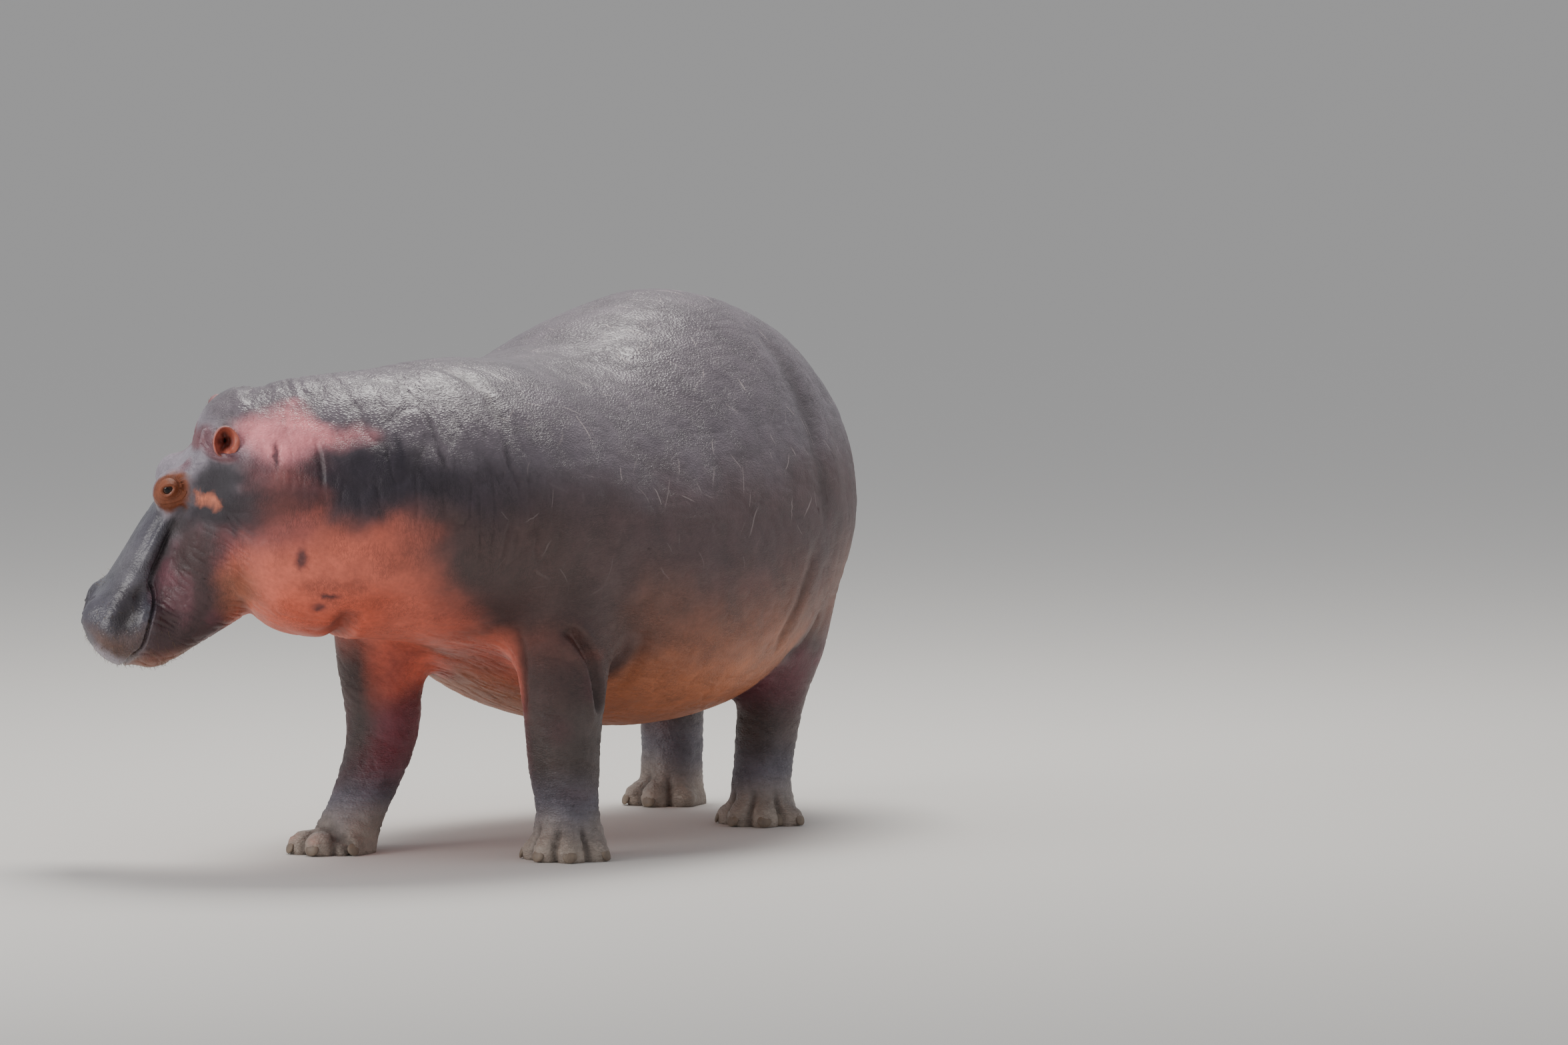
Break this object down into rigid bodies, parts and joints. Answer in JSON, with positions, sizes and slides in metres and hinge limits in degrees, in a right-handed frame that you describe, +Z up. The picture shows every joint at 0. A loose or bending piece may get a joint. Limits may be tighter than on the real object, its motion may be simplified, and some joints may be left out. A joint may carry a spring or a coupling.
{
  "type": "hippopotamus museum model",
  "caption": "Life-size hippopotamus as a still model: it stands on its feet with a walking stance, its head turned to its right and lowered.",
  "frame": {"origin": "middle of the whole box in plan, at the level of the soles", "axes": "+X the way the trunk points, +Y the animal's left, +Z up"},
  "size_m": [2.5172, 1.2742, 1.4059],
  "materials": {
    "head_skin": "satin, finely wrinkled, damp at the lips",
    "neck_skin": "satin, creased, salmon pink below",
    "trunk_skin": "satin, pebbled and scratched",
    "tail_skin": "satin, wrinkled",
    "leg_front_left_skin": "dusty, wrinkled",
    "leg_front_right_skin": "dusty, wrinkled",
    "leg_hind_left_skin": "dusty, wrinkled",
    "leg_hind_right_skin": "dusty, wrinkled",
    "ear_left_skin": "satin, pink inside",
    "ear_right_skin": "satin, pink inside",
    "eye_left_skin": "wet gloss",
    "eye_right_skin": "wet gloss"
  },
  "bodies": {
    "root": {"head": "head_skin", "neck": "neck_skin", "trunk": "trunk_skin", "tail": "tail_skin", "leg_front_left": "leg_front_left_skin", "leg_front_right": "leg_front_right_skin", "leg_hind_left": "leg_hind_left_skin", "leg_hind_right": "leg_hind_right_skin", "ear_left": "ear_left_skin", "ear_right": "ear_right_skin", "eye_left": "eye_left_skin", "eye_right": "eye_right_skin"}
  },
  "joints": []
}
